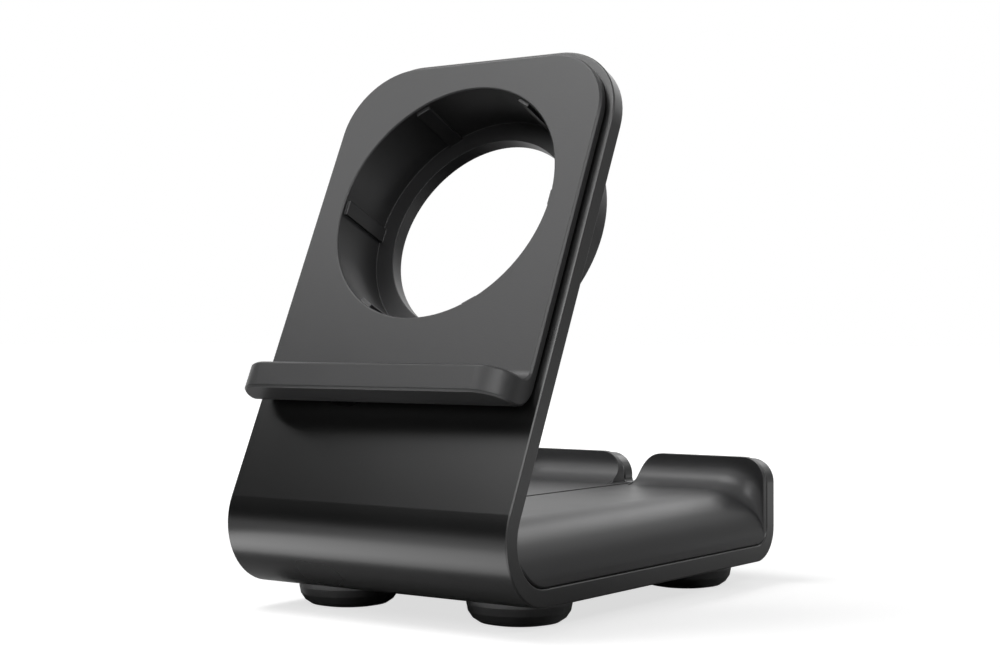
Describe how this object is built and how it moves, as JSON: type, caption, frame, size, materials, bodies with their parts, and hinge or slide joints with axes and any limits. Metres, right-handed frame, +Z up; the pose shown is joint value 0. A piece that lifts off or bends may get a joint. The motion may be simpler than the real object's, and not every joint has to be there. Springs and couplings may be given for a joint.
{
  "type": "smartwatch charging stand",
  "caption": "Smartwatch charging stand: a metal strip bent into an open J, with a soft ribbed charger cup and ledge in front, a notched soft tray on its base, and round feet.",
  "frame": {"origin": "on the floor under the centre of the whole object's box", "axes": "+Z up; -Y towards the front, the side that the pad and ledge face; +X to the right seen from the front"},
  "size_m": [0.06, 0.0918, 0.0984],
  "materials": {
    "black_metal": "matt black coating, satin sheen",
    "soft_black": "soft matt black moulding",
    "foot_rubber": "smooth black rubber"
  },
  "bodies": {
    "root": {"bent_plate": "black_metal", "front_pad": "soft_black", "base_tray": "soft_black", "foot_front_left": "foot_rubber", "foot_front_right": "foot_rubber", "foot_rear_left": "foot_rubber", "foot_rear_right": "foot_rubber"}
  },
  "joints": []
}
